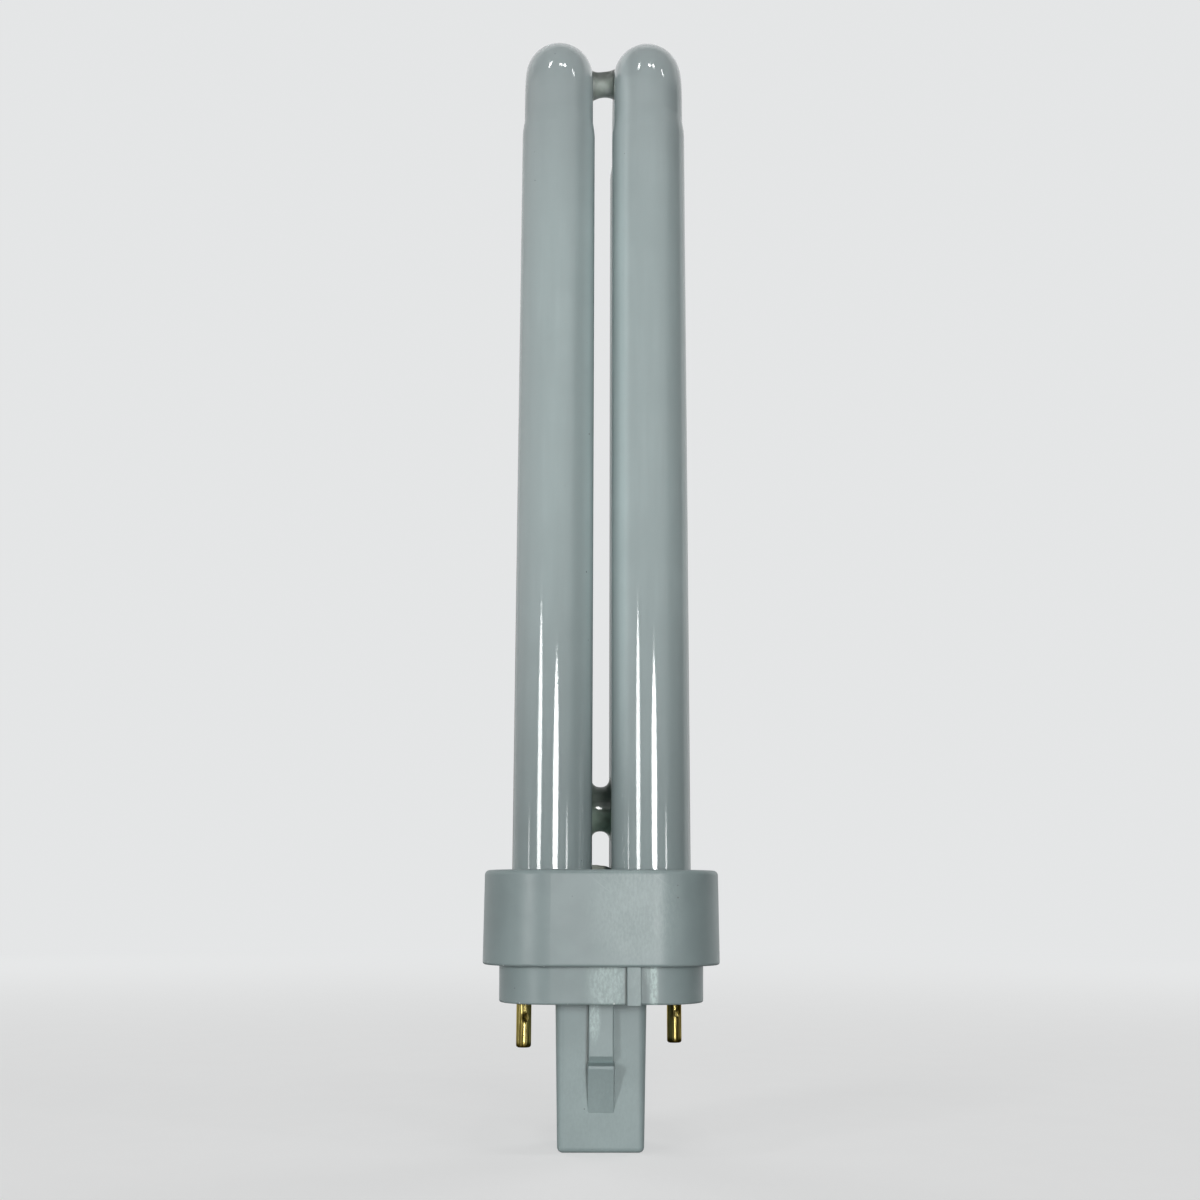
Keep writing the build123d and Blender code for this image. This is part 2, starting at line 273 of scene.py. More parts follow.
# Unevenness of the coat
COAT_STREAKS = (0.45, 0.45, 0.025)
COAT_STREAK_SPAN = (0.30, 0.70)
COAT_CLOUDS = 0.09
COAT_CLOUD_SPAN = (0.25, 0.75)
COAT_UNEVEN_LEVELS = (0.93, 1.02)

# Painted light and shade on the right tube against the left one's, where less light falls on it:
# from left to right, and by height
RIGHT_TUBE_SPAN = (-1.0, 1.0)
RIGHT_TUBE_SHADING_SPAN = (25.0, 90.0)
RIGHT_TUBE_SHADING_LEVELS = (1.06, 0.965)

# Sides that face the other tube are lighter, from light that the coats pass to each other:
# how far a surface faces right, for each tube and at the right one's edge, and by height
INNER_LEFT_SPAN = (0.66, 0.90)
INNER_RIGHT_SPAN = (-0.50, -0.72)
INNER_EDGE_SPAN = (-0.76, -0.88)
INNER_EDGE_LEVEL = 0.35
INNER_RISE = (24.0, 46.0)
INNER_LEVEL = 1.31

# The bridge's bare glass: distance from its axis, and from the middle between the tubes
BARE_REACH = (BRIDGE_RADIUS / MM + 2.0, BRIDGE_RADIUS / MM + 1.0)
BARE_WIDTH = (3.4, 2.2)

# Painted light in the bridge's bare glass, full low down where it lies in shade and fading
# upwards, and its glass is duller on top: heights from its axis
BRIDGE_LIGHT_SPAN = (-1.6, 1.0)
BRIDGE_LIGHT_TOP_LEVEL = 0.35
DULL_SPAN = (0.7, 1.3)
GLASS_ROUGHNESS = (0.06, 0.40)

# Waves in the drawn glass, and in the bridge's, which was worked by hand
DRAWN_WAVES = (0.16, 0.16, 0.012)
DRAWN_DEPTH = 0.015
WORKED_WAVES = 0.55
WORKED_DEPTH = 0.10


def coat_colour(tree, place):
    """The powder coat: greyer at both ends, uneven, with painted light on the tubes' inner sides
    and painted light and shade on the right tube.
    """
    x, _, z = tree.split(place)
    colour = tree.blend(tree.step(z, *COAT_RISE), COAT_LOW_COLOUR, COAT_COLOUR)
    colour = tree.blend(tree.step(z, *COAT_FALL), colour, COAT_TOP_COLOUR)
    streaks = tree.step(tree.noise(place, COAT_STREAKS, detail=3.0), *COAT_STREAK_SPAN)
    clouds = tree.step(tree.noise(place, COAT_CLOUDS), *COAT_CLOUD_SPAN)
    uneven = tree.product(streaks, clouds)
    colour = tree.shaded(colour, tree.ramp(uneven, *COAT_UNEVEN_LEVELS))
    # Painted light and shade on the right tube: lighter low down, darker higher up
    on_right = tree.step(x, *RIGHT_TUBE_SPAN)
    right_tube_shading = tree.ramp(tree.step(z, *RIGHT_TUBE_SHADING_SPAN), *RIGHT_TUBE_SHADING_LEVELS)
    colour = tree.shaded(colour, tree.ramp(on_right, 1.0, right_tube_shading))
    faces_right = tree.split(tree.add("TexCoord").outputs["Normal"])[0]
    inner_left = tree.step(faces_right, *INNER_LEFT_SPAN)
    inner_right = tree.step(faces_right, *INNER_RIGHT_SPAN)
    edge = tree.ramp(tree.step(faces_right, *INNER_EDGE_SPAN), 1.0, INNER_EDGE_LEVEL)
    inner = tree.ramp(on_right, inner_left, inner_right)
    inner = tree.product(inner, tree.step(z, *INNER_RISE), edge)
    colour = tree.shaded(colour, tree.ramp(inner, 1.0, INNER_LEVEL))
    specks = tree.specks(place, scale=0.34, radius=0.05, share=0.35)
    return tree.blend(specks, colour, SPECK_COLOUR)


def coated_glass():
    """Clear glass over a white powder coat, with hardly any coat in the bridge."""
    tree = Tree.new("coated_glass")
    place = tree.place_mm()
    x, y, z = tree.split(place)
    from_y = tree.maths("SUBTRACT", y, LIMB_OFFSET / MM)
    from_z = tree.maths("SUBTRACT", z, BRIDGE_LEVEL / MM)
    square = tree.maths("ADD", tree.product(from_y, from_y), tree.product(from_z, from_z))
    near = tree.step(tree.maths("SQRT", square), *BARE_REACH)
    bare = tree.product(near, tree.step(tree.maths("ABSOLUTE", x), *BARE_WIDTH))
    # Painted light in the bridge's shaded lower half, fading upwards
    bridge_painted_light = tree.ramp(tree.step(from_z, *BRIDGE_LIGHT_SPAN), 1.0, BRIDGE_LIGHT_TOP_LEVEL)
    bare_colour = tree.shaded(BARE_GLASS_COLOUR[:3], bridge_painted_light)
    dull = tree.product(bare, tree.step(from_z, *DULL_SPAN))
    drawn = tree.noise(place, DRAWN_WAVES, detail=1.0)
    worked = tree.product(tree.noise(place, WORKED_WAVES, detail=1.0), bare)
    return tree.finish(
        Base_Color=tree.blend(bare, coat_colour(tree, place), bare_colour),
        Roughness=tree.ramp(dull, *GLASS_ROUGHNESS),
        IOR=1.5,
        Subsurface_Weight=0.4,
        Subsurface_Radius=(1.0, 1.0, 1.0),
        Subsurface_Scale=5.0 * MM,
        Normal=tree.bump(worked, WORKED_DEPTH, tree.bump(drawn, DRAWN_DEPTH)),
    )


# Blotches in the mouldings, and painted light and shade by height: lighter on the post, darker up
# on the cap
BLOTCHES = 0.22
BLOTCH_SPAN = (0.35, 0.65)
HEIGHT_SHADING_SPAN = (-22.0, 18.0)
HEIGHT_SHADING_LEVELS = (1.05, 0.80)

# Rubbed places on the mouldings, with painted light among them: centre, half-size and strength of
# each, and their flecks
SMEARS_AND_SHEEN = (
    ((4.5, -17.5, 13.0), (8.5, 4.0, 11.0), 0.30),
    ((0.8, -14.8, 2.7), (3.7, 3.0, 6.0), 0.85),
    # Painted highlight: a bright streak down the collar's right corner, brighter at its top
    ((7.3, -14.5, 2.7), (0.80, 3.0, 7.5), 1.35),
    ((6.4, -14.8, 4.2), (0.8, 3.0, 1.8), 0.7),
    ((5.1, -15.8, 2.7), (1.6, 2.0, 7.0), 0.25),
    ((-1.0, -8.3, -2.4), (1.2, 2.0, 4.5), 1.0),
    # Painted light over the post's front
    ((0.0, -6.9, -14.0), (9.5, 3.0, 15.0), 0.22),
)
FLECKS = (3.4, 3.4, 1.5)
FLECK_SPAN = (0.34, 0.70)
FLECK_SHARES = (0.25, 0.95)

# Scuffs on the cap's front: slope in degrees, place, noise along and across them, strength
SCUFF_SLOPE = -35.0
SCUFF_CENTRE = (4.0, -17.5, 15.0)
SCUFF_HALF_SIZE = (9.0, 4.0, 9.0)
SCUFF_SCRATCHES = (0.22, 0.5, 4.5)
SCUFF_SPAN = (0.58, 0.72)
SCUFF_STRENGTH = 0.24

# Painted shadows: dark lines left of the key rib and the front latch, where shade falls: centre,
# half-size and strength of each
PAINTED_SHADOW_LINES = (
    ((3.36, -15.2, 2.7), (0.26, 1.6, 6.0), 0.9),
    ((-2.02, -7.2, -6.5), (0.36, 1.2, 11.0), 0.9),
)

# Lower edges of the cap and the collar, which carry burrs: heights and half-width
BURR_LEVELS = (5.5, 0.2)
BURR_HALF = 0.35

# Grain and sink marks of the mouldings, and how their sheen varies
GRAIN = 3.2
GRAIN_DEPTH = 0.004
SINK = 0.16
SINK_DEPTH = 0.06
SHEEN = 0.5
MOULDING_ROUGHNESS = (0.31, 0.42)


def rubbed_places_and_sheen(tree, place):
    """How far the mouldings are rubbed, in flecked smears and fine scuffs, with painted
    highlights and light among the smears.
    """
    flecks = tree.noise(place, FLECKS, detail=5.0, roughness=0.66)
    flecks = tree.ramp(tree.step(flecks, *FLECK_SPAN), *FLECK_SHARES)
    smears_and_sheen = []
    for centre, half_size, strength in SMEARS_AND_SHEEN:
        smears_and_sheen.append(tree.product(tree.patch(place, centre, half_size), strength))
    smears_and_sheen = tree.product(tree.largest(*smears_and_sheen), flecks)
    slope = {"Vector": place, "Angle": math.radians(SCUFF_SLOPE)}
    along = tree.add("VectorRotate", slope, rotation_type="Y_AXIS").outputs[0]
    scratches = tree.step(tree.noise(along, SCUFF_SCRATCHES), *SCUFF_SPAN)
    scuffed = tree.patch(place, SCUFF_CENTRE, SCUFF_HALF_SIZE)
    scuffs = tree.product(scuffed, SCUFF_STRENGTH, scratches)
    return tree.maths("MINIMUM", tree.largest(smears_and_sheen, scuffs), 1.0)


def edge_burrs(tree, place):
    """Pale burrs along the lower edges of the cap and the collar."""
    height = tree.split(place)[2]
    edges = []
    for level in BURR_LEVELS:
        away = tree.maths("ABSOLUTE", tree.maths("SUBTRACT", height, level))
        edges.append(tree.step(away, BURR_HALF, BURR_HALF / 2))
    specks = tree.specks(place, scale=1.2, radius=0.24, share=0.4)
    return tree.product(specks, tree.largest(*edges))


def white_moulding():
    """Satin white moulding with blotches, rubbed places, specks and burrs, and painted light and
    shade: by height, in highlights among the smears and in shadow lines.
    """
    tree = Tree.new("white_moulding")
    place = tree.place_mm()
    height = tree.split(place)[2]
    blotches = tree.step(tree.noise(place, BLOTCHES, detail=3.0), *BLOTCH_SPAN)
    colour = tree.blend(blotches, MOULDING_SHADE, MOULDING_COLOUR)
    # Painted light and shade by height
    colour = tree.shaded(colour, tree.ramp(tree.step(height, *HEIGHT_SHADING_SPAN), *HEIGHT_SHADING_LEVELS))
    # Smears, with painted highlights and light among them
    colour = tree.blend(rubbed_places_and_sheen(tree, place), colour, SMEAR_AND_SHEEN_COLOUR)
    specks = tree.specks(place, scale=0.4, radius=0.06, share=0.3)
    colour = tree.blend(specks, colour, GRIME_AND_SHADE_COLOUR)
    # Painted shadow lines beside the key rib and the latch
    for centre, half_size, strength in PAINTED_SHADOW_LINES:
        line = tree.product(tree.patch(place, centre, half_size), strength)
        colour = tree.blend(line, colour, GRIME_AND_SHADE_COLOUR)
    colour = tree.blend(edge_burrs(tree, place), colour, BURR_COLOUR)
    grain = tree.bump(tree.noise(place, GRAIN), GRAIN_DEPTH)
    return tree.finish(
        Base_Color=colour,
        Roughness=tree.ramp(tree.noise(place, SHEEN, detail=3.0), *MOULDING_ROUGHNESS),
        IOR=1.5,
        Specular_IOR_Level=0.45,
        Normal=tree.bump(tree.noise(place, SINK, detail=1.0), SINK_DEPTH, grain),
    )


# Streaks along the pins
PIN_STREAKS = (4.2, 4.2, 0.12)
PIN_STREAK_SPAN = (0.36, 0.50)
PIN_STREAK_DEPTH = 0.012
PIN_ROUGHNESS = (0.42, 0.30)

# Darkening on the pins: tarnish in hollows, and painted dark reflections at the tips and in
# patches, each patch with its pin, its place from that pin's axis, its half-size and its strength
PIN_HOLLOW_REACH = 1.0
PIN_HOLLOW_SPAN = (0.60, 0.95)
PIN_TIP_DARK_SPAN = (-6.4, -5.7)
PIN_DARK_REFLECTION_SPAN = (0.15, 0.65)
PIN_DARK_REFLECTIONS = (
    ("contact_pin_left", (0.12, -1.06, -2.4), (0.70, 0.75, 1.20), 0.9),
    ("contact_pin_left", (-0.30, -1.04, -4.9), (0.42, 0.80, 2.60), 0.7),
    ("contact_pin_right", (0.62, -0.90, -1.7), (0.55, 0.70, 1.40), 0.9),
    ("contact_pin_right", (-0.66, -0.88, -3.4), (0.72, 0.90, 5.00), 0.3),
)


def pin_brass():
    """Bright drawn brass with streaks, tarnished in hollows, with painted dark reflections in
    patches and at its tips.
    """
    tree = Tree.new("pin_brass")
    place = tree.place_mm()
    streaks = tree.noise(place, PIN_STREAKS)
    # Clean along the streaks, with tarnish in hollows and painted dark reflections at the tips
    clean_and_lit = tree.product(
        tree.step(streaks, *PIN_STREAK_SPAN),
        tree.step(tree.openness(PIN_HOLLOW_REACH), *PIN_HOLLOW_SPAN),
        tree.step(tree.split(place)[2], *PIN_TIP_DARK_SPAN),
    )
    # Painted dark reflections in patches on the pins
    for pin, (right, back, height), half_size, strength in PIN_DARK_REFLECTIONS:
        low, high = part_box(pin)
        axis = (low + high) / 2 / MM
        dark_reflection = tree.patch(place, (axis.x + right, axis.y + back, height), half_size)
        dark_reflection = tree.step(dark_reflection, *PIN_DARK_REFLECTION_SPAN)
        clean_and_lit = tree.product(clean_and_lit, tree.ramp(dark_reflection, 1.0, 1.0 - strength))
    return tree.finish(
        Base_Color=tree.blend(clean_and_lit, BRASS_TARNISH_AND_SHADE, BRASS_COLOUR),
        Metallic=1.0,
        Roughness=tree.ramp(clean_and_lit, *PIN_ROUGHNESS),
        Specular_Tint=BRASS_EDGE,
        Anisotropic=0.85,
        Anisotropic_Rotation=0.25,
        Tangent=tree.add("Tangent", direction_type="RADIAL", axis="Z").outputs[0],
        Normal=tree.bump(streaks, PIN_STREAK_DEPTH),
    )


# Grain of the cement, and where painted shade starts towards its right
CEMENT_GRAIN = 1.3
CEMENT_GRAIN_SPAN = (0.30, 0.70)
CEMENT_GRAIN_DEPTH = 0.12
CEMENT_SHADE_SIDE_SPAN = (0.2, 0.9)


def cement():
    """Cream basing cement, matt and grainy, with painted shade on its right side."""
    tree = Tree.new("cement")
    place = tree.place_mm()
    grain = tree.noise(place, CEMENT_GRAIN, detail=4.0, roughness=0.6)
    colour = tree.blend(tree.step(grain, *CEMENT_GRAIN_SPAN), CEMENT_SHADE, CEMENT_COLOUR)
    # Painted shade on the cement's right side
    shaded_side = tree.step(tree.split(place)[0], *CEMENT_SHADE_SIDE_SPAN)
    return tree.finish(
        Base_Color=tree.blend(shaded_side, colour, GRIME_AND_SHADE_COLOUR),
        Roughness=0.85,
        Normal=tree.bump(grain, CEMENT_GRAIN_DEPTH),
    )


# Clouds in the adhesive, and painted shade in the corners where it meets the glass
BEAD_CLOUDS = 0.7
BEAD_CLOUD_SPAN = (0.35, 0.65)
BEAD_CLOUD_DEPTH = 0.06
BEAD_CORNER_REACH = 0.8
BEAD_CORNER_SPAN = (0.20, 0.75)
BEAD_CORNER_LEVELS = (0.62, 1.0)

# Painted light and shade: the bead is lighter low down and darker towards its top, against the
# light from above
BEAD_SHADING_SPAN = (LINK_LEVEL / MM - 1.6, LINK_LEVEL / MM + 0.6)
BEAD_SHADING_LEVELS = (2.4, 0.50)


def clear_adhesive():
    """Cloudy silicone with a satin skin, with painted shade in its corners and painted light low
    down.
    """
    tree = Tree.new("clear_adhesive")
    place = tree.place_mm()
    clouds = tree.noise(place, BEAD_CLOUDS, detail=3.0)
    colour = tree.blend(tree.step(clouds, *BEAD_CLOUD_SPAN), BEAD_SHADE, BEAD_COLOUR)
    # Painted shade in the corners where the bead meets the glass
    corner = tree.step(tree.openness(BEAD_CORNER_REACH), *BEAD_CORNER_SPAN)
    colour = tree.shaded(colour, tree.ramp(corner, *BEAD_CORNER_LEVELS))
    # Painted light low on the bead and painted shade on its top
    height = tree.step(tree.split(place)[2], *BEAD_SHADING_SPAN)
    return tree.finish(
        Base_Color=tree.shaded(colour, tree.ramp(height, *BEAD_SHADING_LEVELS)),
        Roughness=0.32,
        IOR=1.41,
        Subsurface_Weight=0.9,
        Subsurface_Radius=(1.0, 1.0, 1.0),
        Subsurface_Scale=2.2 * MM,
        Normal=tree.bump(clouds, BEAD_CLOUD_DEPTH),
    )


MOTTLE_SPAN = (0.35, 0.65)


def mottled(name, colour, shade, scale, depth_mm, **values):
    """A plain finish for hidden pieces: two tones in a noise, with a light bump."""
    tree = Tree.new(name)
    tone = tree.noise(tree.place_mm(), scale, detail=3.0)
    blended = tree.blend(tree.step(tone, *MOTTLE_SPAN), shade, colour)
    return tree.finish(Base_Color=blended, Normal=tree.bump(tone, depth_mm), **values)


def new_piece(name, mesh_maker, material):
    """A smooth mesh piece that rides on the bulb."""
    mesh = bpy.data.meshes.new(name)
    shape = bmesh.new()
    mesh_maker(shape)
    bmesh.ops.recalc_face_normals(shape, faces=shape.faces)
    shape.to_mesh(mesh)
    shape.free()
    mesh.shade_smooth()
    mesh.materials.append(material)
    piece = bpy.data.objects.new(name, mesh)
    bpy.context.scene.collection.objects.link(piece)
    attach(piece, "root")
    return piece


def bridge_rings(shape, rings):
    """Faces between rings of vertices, in order; a ring of one vertex closes an end."""
    for lower, upper in zip(rings, rings[1:]):
        count = max(len(lower), len(upper))
        for index in range(count):
            corners = [lower[index % len(lower)], lower[(index + 1) % len(lower)]]
            corners += [upper[(index + 1) % len(upper)], upper[index % len(upper)]]
            shape.faces.new(list(dict.fromkeys(corners)))


def bend_surface(y, z):
    """How far from the middle between the tubes a bend's glass lies, at a place beside it."""
    ring = math.hypot(y, z - BEND_LEVEL) - LIMB_OFFSET
    return LIMB_OFFSET - math.sqrt(BEND_RADIUS**2 - ring**2)


# Adhesive bead: its radius at the waist, how that flares to the ends and how rough it is, how
# far the bead rises from its middle to its right end, and its gap to the glass
BEAD_WAIST = 2.1 * MM
BEAD_FLARE = 0.55 * MM
BEAD_FLARE_POWER = 2.5
BEAD_ROUGH = 0.16 * MM
BEAD_TILT = 0.22 * MM
BEAD_GAP = 0.02 * MM

# Its mesh: counts round and along it, the rings on its ends by share of the radius, and the
# place in the noise
BEAD_AROUND = 72
BEAD_ALONG = 28
BEAD_END_SHARES = (0.8, 0.6, 0.4, 0.2, 0.0)
BEAD_SEED = Vector((3.1, 7.4, 1.9))


def adhesive_bead(shape):
    """A lump of adhesive squeezed between the two bends, wetting both."""
    angles = [2 * math.pi * index / BEAD_AROUND for index in range(BEAD_AROUND)]

    def place(angle, along, share=1.0):
        """A point's y and z, where along runs from -1 at the left end to 1 at the right."""
        turn = Vector((math.cos(angle), math.sin(angle), along))
        flare = BEAD_FLARE * abs(along) ** BEAD_FLARE_POWER
        rough = BEAD_ROUGH * noise.noise(BEAD_SEED + turn)
        radius = (BEAD_WAIST + flare + rough) * share
        middle = LINK_LEVEL + BEAD_TILT * along
        return radius * math.cos(angle), middle + radius * math.sin(angle)

    def end_ring(side, share):
        """A ring on the glass, or one vertex where the share is 0."""
        ring = []
        for angle in angles if share else angles[:1]:
            y, z = place(angle, side, share)
            ring.append(shape.verts.new((side * (bend_surface(y, z) - BEAD_GAP), y, z)))
        return ring

    def skin_ring(along):
        """A ring of the skin between the ends."""
        ring = []
        for angle in angles:
            y, z = place(angle, along)
            reach = bend_surface(*place(angle, math.copysign(1, along))) - BEAD_GAP
            ring.append(shape.verts.new((along * reach, y, z)))
        return ring

    rings = [end_ring(-1, share) for share in reversed(BEAD_END_SHARES)]
    rings += [skin_ring(2 * step / BEAD_ALONG - 1) for step in range(BEAD_ALONG + 1)]
    rings += [end_ring(1, share) for share in BEAD_END_SHARES]
    bridge_rings(shape, rings)


# Lump of cement: its centre on the deck, radius, height, how far its peak leans left, the
# power of its dome, and its gap to the deck
LUMP_CENTRE = Vector((-0.4, 0.2)) * MM
LUMP_RADIUS = 2.9 * MM
LUMP_HEIGHT = 0.95 * MM
LUMP_LEAN = 0.75 * MM
LUMP_DOME_POWER = 2.2
LUMP_GAP = 0.01 * MM

# Its roughness, as shares of the radius and the height with their noise scales, the counts
# of its mesh, and the place in the noise
LUMP_EDGE_ROUGH = 0.22
LUMP_EDGE_SCALE = 1.2
LUMP_TOP_ROUGH = 0.35
LUMP_TOP_SCALE = 2.2
LUMP_RINGS = 14
LUMP_AROUND = 64
LUMP_SEED = Vector((9.2, 2.6, 5.5))


def cement_lump(shape):
    """The cement that welled up through the deck's vent and set."""
    base = DECK_LEVEL + LUMP_GAP

    def dome_ring(share):
        """A ring at a share of the radius, or the peak's one vertex where that is 0."""
        ring = []
        for index in range(LUMP_AROUND if share else 1):
            angle = 2 * math.pi * index / LUMP_AROUND
            turn = Vector((math.cos(angle), math.sin(angle), 0))
            edge = noise.noise(LUMP_SEED + turn * LUMP_EDGE_SCALE)
            radius = LUMP_RADIUS * share * (1 + LUMP_EDGE_ROUGH * edge)
            top = noise.noise(LUMP_SEED * 2 + turn * share * LUMP_TOP_SCALE)
            height = LUMP_HEIGHT * (1 - share**LUMP_DOME_POWER) * (1 + LUMP_TOP_ROUGH * top)
            spot = LUMP_CENTRE + turn.to_2d() * radius
            lean = LUMP_LEAN * (1 - share)
            ring.append(shape.verts.new((spot.x - lean, spot.y, base + height)))
        return ring

    rings = [[shape.verts.new((LUMP_CENTRE.x, LUMP_CENTRE.y, base))]]
    rings += [dome_ring(1 - step / LUMP_RINGS) for step in range(LUMP_RINGS + 1)]
    bridge_rings(shape, rings)


materials = {
    "coated_glass": coated_glass(),
    "clear_adhesive": clear_adhesive(),
    "white_moulding": white_moulding(),
    "pin_brass": pin_brass(),
    "cement": cement(),
    "wire_metal": mottled(
        "wire_metal",
        WIRE_COLOUR,
        WIRE_SHADE,
        scale=1.5,
        depth_mm=0.01,
        Metallic=1.0,
        Roughness=0.35,
    ),
    "starter_glass": mottled(
        "starter_glass",
        STARTER_COLOUR,
        STARTER_SHADE,
        scale=0.5,
        depth_mm=0.02,
        Roughness=0.08,
    ),
    "capacitor_dip": mottled(
        "capacitor_dip",
        DIP_COLOUR,
        DIP_SHADE,
        scale=0.8,
        depth_mm=0.05,
        Roughness=0.25,
    ),
}

for subpart in frame["record"]["subparts"]:
    node = frame["nodes"][subpart["node"]]
    node.data.materials.clear()
    node.data.materials.append(materials[subpart["material_slot"]])

bead = new_piece(
    "adhesive_bead", adhesive_bead, materials["clear_adhesive"]
)
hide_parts("crown_link")
new_piece("cement_lump", cement_lump, materials["cement"])


def make_camera():
    """The photograph's view."""
    heading = Vector((math.sin(CAMERA_HEADING), math.cos(CAMERA_HEADING), 0))
    ahead = heading * math.cos(CAMERA_PITCH) + Vector((0, 0, math.sin(CAMERA_PITCH)))
    level = heading.cross(Vector((0, 0, 1)))
    above = level.cross(ahead)
    right = level * math.cos(CAMERA_ROLL) + above * math.sin(CAMERA_ROLL)
    up = right.cross(ahead)
    camera = bpy.data.objects.new("camera", bpy.data.cameras.new("camera"))
    camera.data.sensor_width = SENSOR_MM
    camera.data.lens = FOCAL_PX / PHOTO_PX * SENSOR_MM
    camera.data.clip_start = CAMERA_NEAR
    turn = Matrix((right, up, -ahead)).transposed().to_4x4()
    camera.matrix_world = Matrix.Translation(CAMERA_PLACE) @ turn
    bpy.context.scene.collection.objects.link(camera)
    bpy.context.scene.camera = camera


# Upright soft lamps that stand on the floor round the bulb: name, azimuth right of the camera
# in degrees, width and top in metres, and radiance
UPRIGHT_DISTANCE = 1.0
UPRIGHT_LAMPS = (
    ("upright_right", 8.6, 0.262, 0.210, 25.0),
    ("upright_left", -38.0, 0.21, 0.250, 18.0),
    ("upright_side", 42.5, 0.09, 0.085, 12.0),
    ("upright_far_left", -70.0, 0.07, 0.085, 8.0),
)

# Broad lamps in front and behind, given in the same way, which the glass doesn't mirror
BROAD_LAMPS = (
    ("front", -20.0, 0.50, 0.300, 1.1),
    ("back_left", -148.0, 0.60, 0.600, 4.0),
    ("back_right", 137.0, 0.60, 0.600, 4.2),
)

# Lamps overhead: name, azimuth and elevation in degrees from the bends, width and height in
# metres, and radiance
OVERHEAD_DISTANCE = 0.65
OVERHEAD_LAMPS = (
    ("overhead_left", -45.0, 61.5, 0.056, 0.13, 20.0),
    ("overhead_middle", 8.0, 64.0, 0.074, 0.076, 19.0),
    ("overhead_right", 27.0, 62.0, 0.074, 0.086, 18.0),
    ("overhead_side", 57.5, 48.5, 0.044, 0.14, 13.0),
)


def make_lamp(name, target, place, width, height, radiance):
    """A soft oval lamp that faces a target."""
    light = bpy.data.lights.new(name, "AREA")
    light.shape = "ELLIPSE"
    light.size = width
    light.size_y = height
    area = math.pi / 4 * width * height
    light.energy = radiance * math.pi * area
    holder = bpy.data.objects.new(name, light)
    holder.location = place
    holder.rotation_mode = "QUATERNION"
    holder.rotation_quaternion = (target - place).to_track_quat("-Z", "Y")
    holder.visible_camera = False
    bpy.context.scene.collection.objects.link(holder)
    return holder


def bearing(azimuth, elevation):
    """A direction from the bulb, right of the camera and above the floor, in degrees."""
    turn = math.radians(azimuth)
    rise = math.radians(elevation)
    level = math.cos(rise)
    return Vector((math.sin(turn) * level, -math.cos(turn) * level, math.sin(rise)))


def make_lamps():
    """The studio's lamps: upright and broad ones round the bulb, and small ones overhead."""
    for lamps, mirrored in ((UPRIGHT_LAMPS, True), (BROAD_LAMPS, False)):
        for name, azimuth, width, top, radiance in lamps:
            height = top - FLOOR_LEVEL
            target = Vector((0, 0, FLOOR_LEVEL + height / 2))
            place = target + bearing(azimuth, 0) * UPRIGHT_DISTANCE
            lamp = make_lamp(name, target, place, width, height, radiance)
            lamp.visible_glossy = mirrored
    bends = Vector((0, -LIMB_OFFSET, BEND_LEVEL))
    for name, azimuth, elevation, width, height, radiance in OVERHEAD_LAMPS:
        place = bends + bearing(azimuth, elevation) * OVERHEAD_DISTANCE
        make_lamp(name, bends, place, width, height, radiance)


# Surroundings, by direction: a span is how far a direction points right, ahead or up, from -1
# to 1. The fill lights everything a little, and the rest is only mirrored.
FILL_LEVEL = 0.035

# The side towards the camera: darker near the floor, high up and far right
FRONT_LEVEL = 1.10
FRONT_LOW_SPAN = (0.0, 0.12)
FRONT_LOW_LEVEL = 0.45
FRONT_HIGH_SPAN = (0.50, 0.80)
FRONT_HIGH_LEVEL = 0.40
RIGHT_SPAN = (0.66, 0.86)
RIGHT_LEVEL = 0.06

# The side away from the camera: darker straight behind the bulb
BACK_SPAN = (0.28, 0.48)
BACK_LEVEL = 1.05
BEHIND_SPAN = (0.86, 0.97)
BEHIND_LEVEL = 0.45

# A bright screen on the left, above the floor
LEFT_SPAN = (-0.60, -0.85)
LEFT_RISE = (0.0, 0.16)
LEFT_LEVEL = 1.45


def make_world():
    """A pale backdrop, mirrored darker on the right and brighter on the left, and a weak fill."""
    world = bpy.data.worlds.new("studio")
    world.use_nodes = True
    bpy.context.scene.world = world
    tree = Tree(world)
    path = tree.add("LightPath").outputs
    right, ahead, up = tree.split(tree.add("TexCoord").outputs["Generated"])
    front = tree.product(
        tree.ramp(tree.step(right, *RIGHT_SPAN), FRONT_LEVEL, RIGHT_LEVEL),
        tree.ramp(tree.step(up, *FRONT_LOW_SPAN), FRONT_LOW_LEVEL, 1.0),
        tree.ramp(tree.step(up, *FRONT_HIGH_SPAN), 1.0, FRONT_HIGH_LEVEL),
    )
    around = tree.ramp(tree.step(ahead, *BACK_SPAN), front, BACK_LEVEL)
    around = tree.product(around, tree.ramp(tree.step(ahead, *BEHIND_SPAN), 1.0, BEHIND_LEVEL))
    left = tree.product(tree.step(right, *LEFT_SPAN), tree.step(up, *LEFT_RISE), LEFT_LEVEL)
    mirrored = tree.product(path["Is Glossy Ray"], tree.largest(around, left))
    shown = tree.largest(path["Is Camera Ray"], path["Is Transmission Ray"])
    background = tree.nodes["Background"].inputs
    tree.put(background["Color"], BACKDROP_COLOUR)
    tree.put(background["Strength"], tree.largest(shown, mirrored, FILL_LEVEL))


# Floor: its size and grain, and the distances over which it fades into the backdrop, in
# metres, with the share of its own glow that it starts from
FLOOR_RADIUS = 4.0
FLOOR_SEGMENTS = 96
FLOOR_GRAIN = 90.0
FLOOR_GRAIN_SPAN = (0.30, 0.70)
FLOOR_FADE = (0.05, 0.9)
FLOOR_GLOW = 0.60

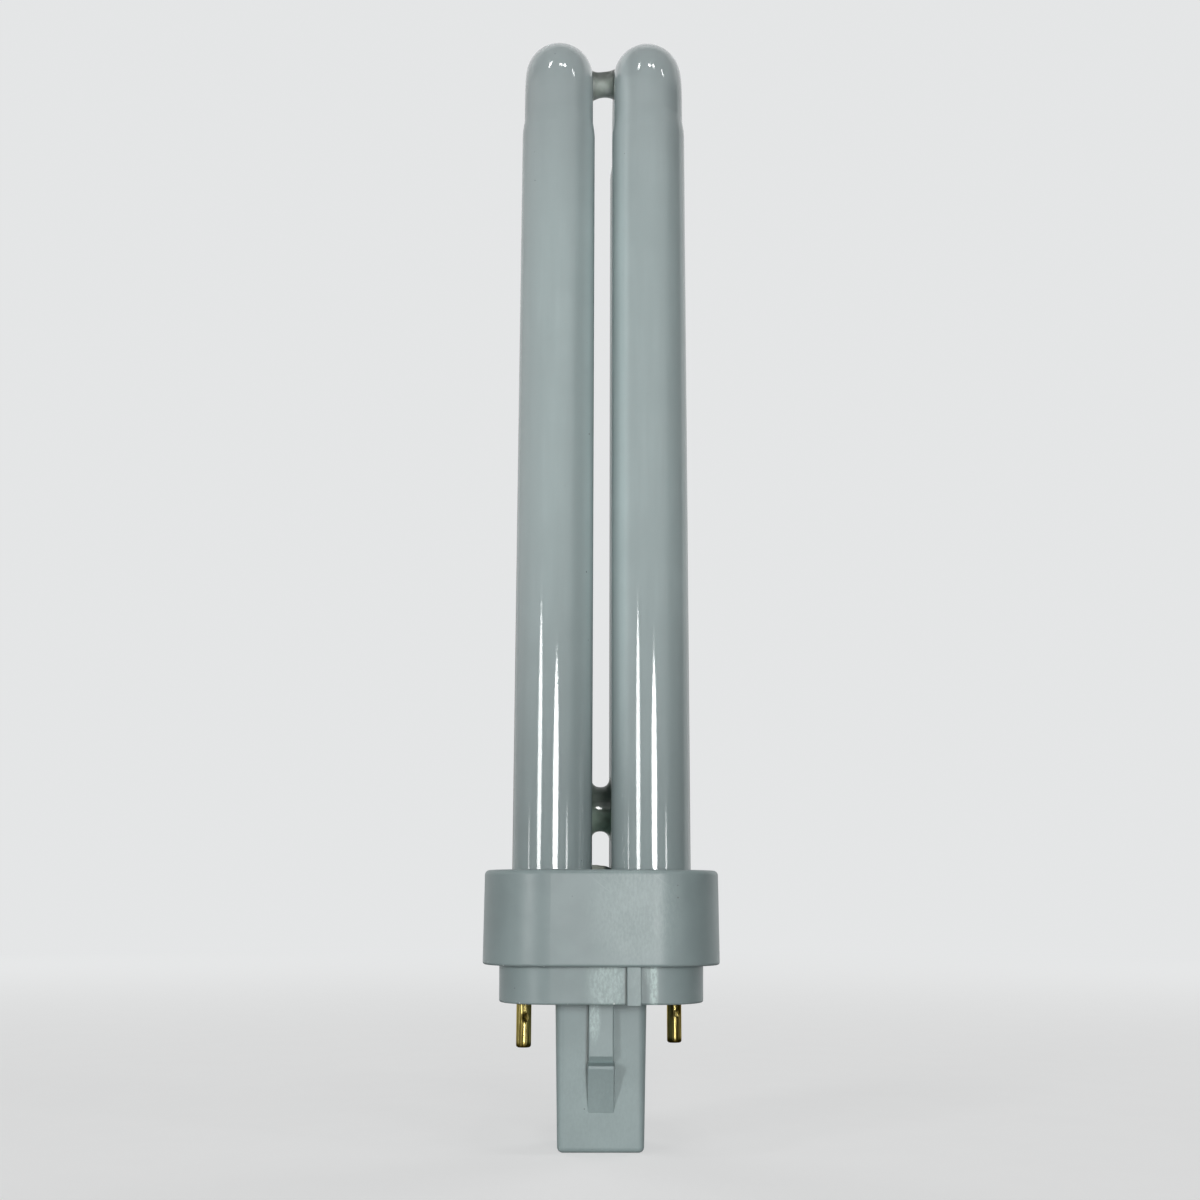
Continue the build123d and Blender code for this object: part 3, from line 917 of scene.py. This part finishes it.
# The mirrored floor is darker in front of the bulb: distance behind its axis, in metres
FLOOR_FRONT_SPAN = (0.0, 0.3)
FLOOR_FRONT_LEVEL = 0.18


def floor_material():
    """A pale floor that fades into the backdrop and throws little light on the bulb."""
    tree = Tree.new("floor")
    place = tree.add("TexCoord").outputs["Object"]
    path = tree.add("LightPath").outputs
    mirrored = path["Is Glossy Ray"]
    shown = tree.largest(path["Is Camera Ray"], path["Is Transmission Ray"], mirrored)
    grain = tree.step(tree.noise(place, FLOOR_GRAIN, detail=3.0), *FLOOR_GRAIN_SPAN)
    pale = tree.blend(grain, FLOOR_COLOUR, FLOOR_SHADE)
    behind = tree.step(tree.split(place)[1], *FLOOR_FRONT_SPAN)
    level = tree.blend(mirrored, WHITE, tree.ramp(behind, FLOOR_FRONT_LEVEL, BACK_LEVEL))
    tree.finish(
        Base_Color=tree.blend(shown, FLOOR_BOUNCE_COLOUR, tree.tinted(pale, level)),
        Roughness=0.8,
    )
    away = tree.step(tree.length(place), *FLOOR_FADE)
    fading = tree.blend(away, FLOOR_COLOUR, BACKDROP_COLOUR)
    glow = tree.add("Emission", {"Color": tree.tinted(level, fading)}).outputs[0]
    glowing = tree.product(tree.ramp(away, FLOOR_GLOW, 1.0), shown)
    mixed = tree.add("MixShader", {0: glowing, 1: tree.shader.outputs[0], 2: glow})
    tree.put(tree.nodes["Material Output"].inputs["Surface"], mixed.outputs[0])
    return tree.owner


def make_floor():
    """A wide round floor under the bulb."""
    mesh = bpy.data.meshes.new("floor")
    shape = bmesh.new()
    bmesh.ops.create_circle(
        shape, cap_ends=True, segments=FLOOR_SEGMENTS, radius=FLOOR_RADIUS
    )
    shape.to_mesh(mesh)
    shape.free()
    mesh.materials.append(floor_material())
    floor = bpy.data.objects.new("floor", mesh)
    floor.location.z = FLOOR_LEVEL
    bpy.context.scene.collection.objects.link(floor)


make_camera()
make_world()
make_floor()
make_lamps()
bpy.context.scene.view_settings.view_transform = "Standard"

bpy.context.view_layer.update()
